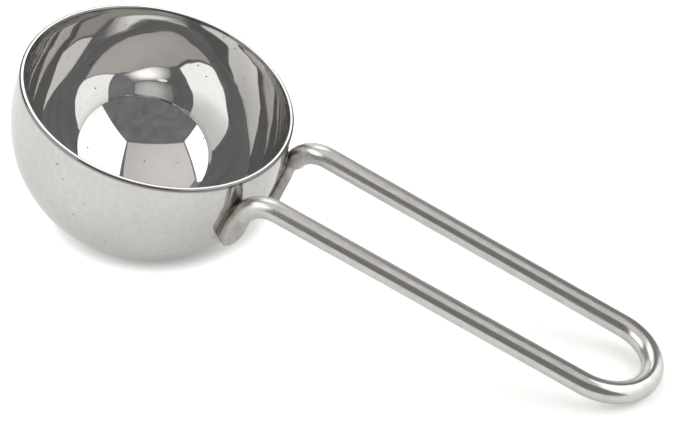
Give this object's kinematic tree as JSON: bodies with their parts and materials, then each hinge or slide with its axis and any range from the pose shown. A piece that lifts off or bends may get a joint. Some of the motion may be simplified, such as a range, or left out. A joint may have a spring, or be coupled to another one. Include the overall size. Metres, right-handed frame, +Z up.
{
  "type": "measuring spoon",
  "caption": "Round bottomed stainless steel measuring scoop with a looped rod handle welded to its wall, lying at rest on a table.",
  "frame": {"origin": "bottom centre of the box round the spoon as it lies on a table, on its bowl's bottom and its handle's end", "axes": "+Z up from the table, +X along the handle away from the bowl, +Y to the left of it"},
  "size_m": [0.1416, 0.057, 0.0433],
  "materials": {
    "polished_steel": "mirror polished stainless steel",
    "satin_steel": "tumbled satin stainless steel",
    "weld_steel": "heat tinted resistance weld"
  },
  "bodies": {
    "root": {"bowl": "polished_steel", "handle": "satin_steel", "left_weld": "weld_steel", "right_weld": "weld_steel"}
  },
  "joints": []
}
